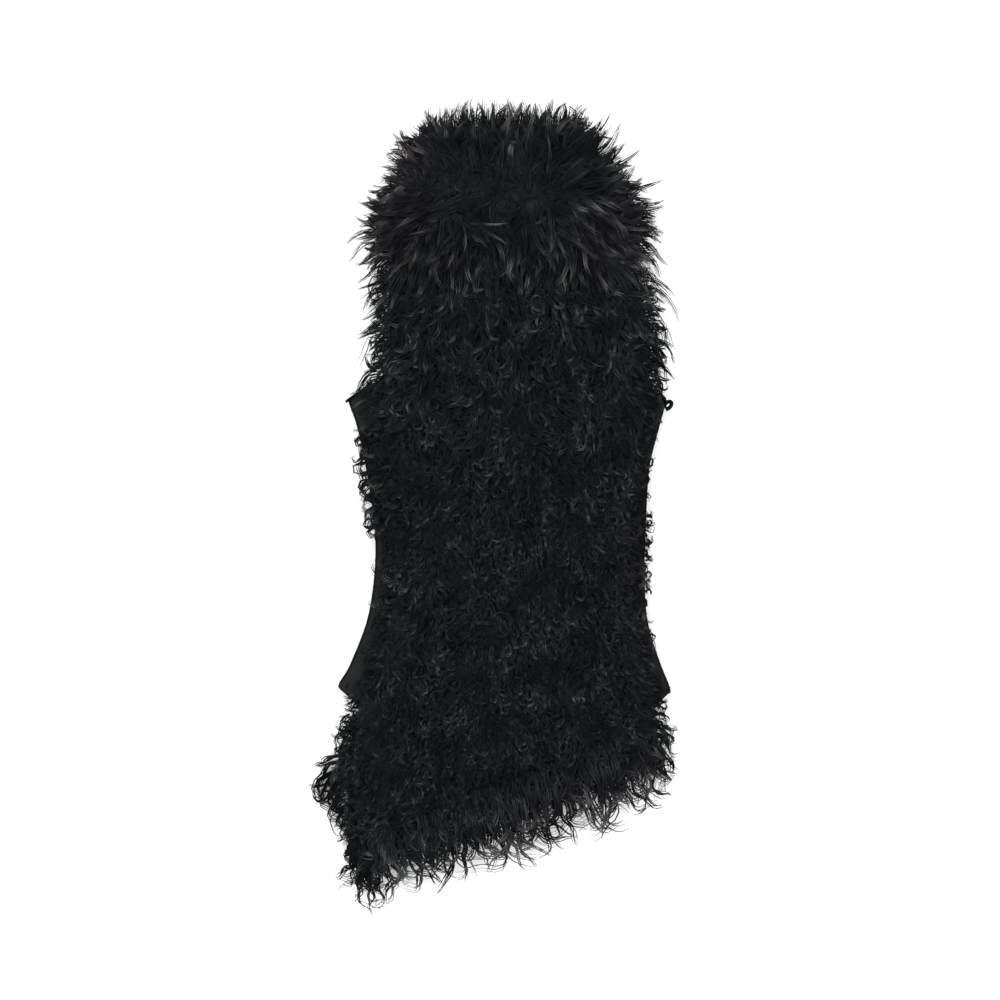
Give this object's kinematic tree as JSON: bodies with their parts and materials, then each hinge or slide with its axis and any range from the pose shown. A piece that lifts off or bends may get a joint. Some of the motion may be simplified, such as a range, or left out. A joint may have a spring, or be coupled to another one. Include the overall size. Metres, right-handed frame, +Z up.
{
  "type": "shearling vest",
  "caption": "Sleeveless long-wool shearling vest laid flat, front up, with a funnel collar, smooth folded side panels and a slanting shaggy hem.",
  "frame": {"origin": "middle of the laid vest's bounding box, on the surface that it lies on", "axes": "+X to the right of the front as it lies face up, +Y from the hem to the collar, +Z up off the surface"},
  "size_m": [0.4332, 0.9692, 0.0896],
  "materials": {
    "black_long_wool": "long curly dyed-black wool on the skin, soft low sheen",
    "black_stretch_cloth": "matte fine-knit stretch cloth",
    "black_binding": "matte rolled edge binding"
  },
  "bodies": {
    "root": {"front_panel": "black_long_wool", "back_panel": "black_long_wool", "collar_front": "black_long_wool", "collar_back": "black_long_wool", "collar_locks_left": "black_long_wool", "collar_locks_top": "black_long_wool", "collar_locks_right": "black_long_wool", "armhole_locks_left": "black_long_wool", "armhole_locks_right": "black_long_wool", "hem_locks_left": "black_long_wool", "hem_locks_right": "black_long_wool", "hem_locks_front": "black_long_wool", "back_locks_waist": "black_long_wool", "back_locks_left": "black_long_wool", "back_locks_hem": "black_long_wool", "side_panel_left": "black_stretch_cloth", "side_panel_right": "black_stretch_cloth", "armhole_binding_left": "black_binding", "armhole_binding_right": "black_binding"}
  },
  "joints": []
}
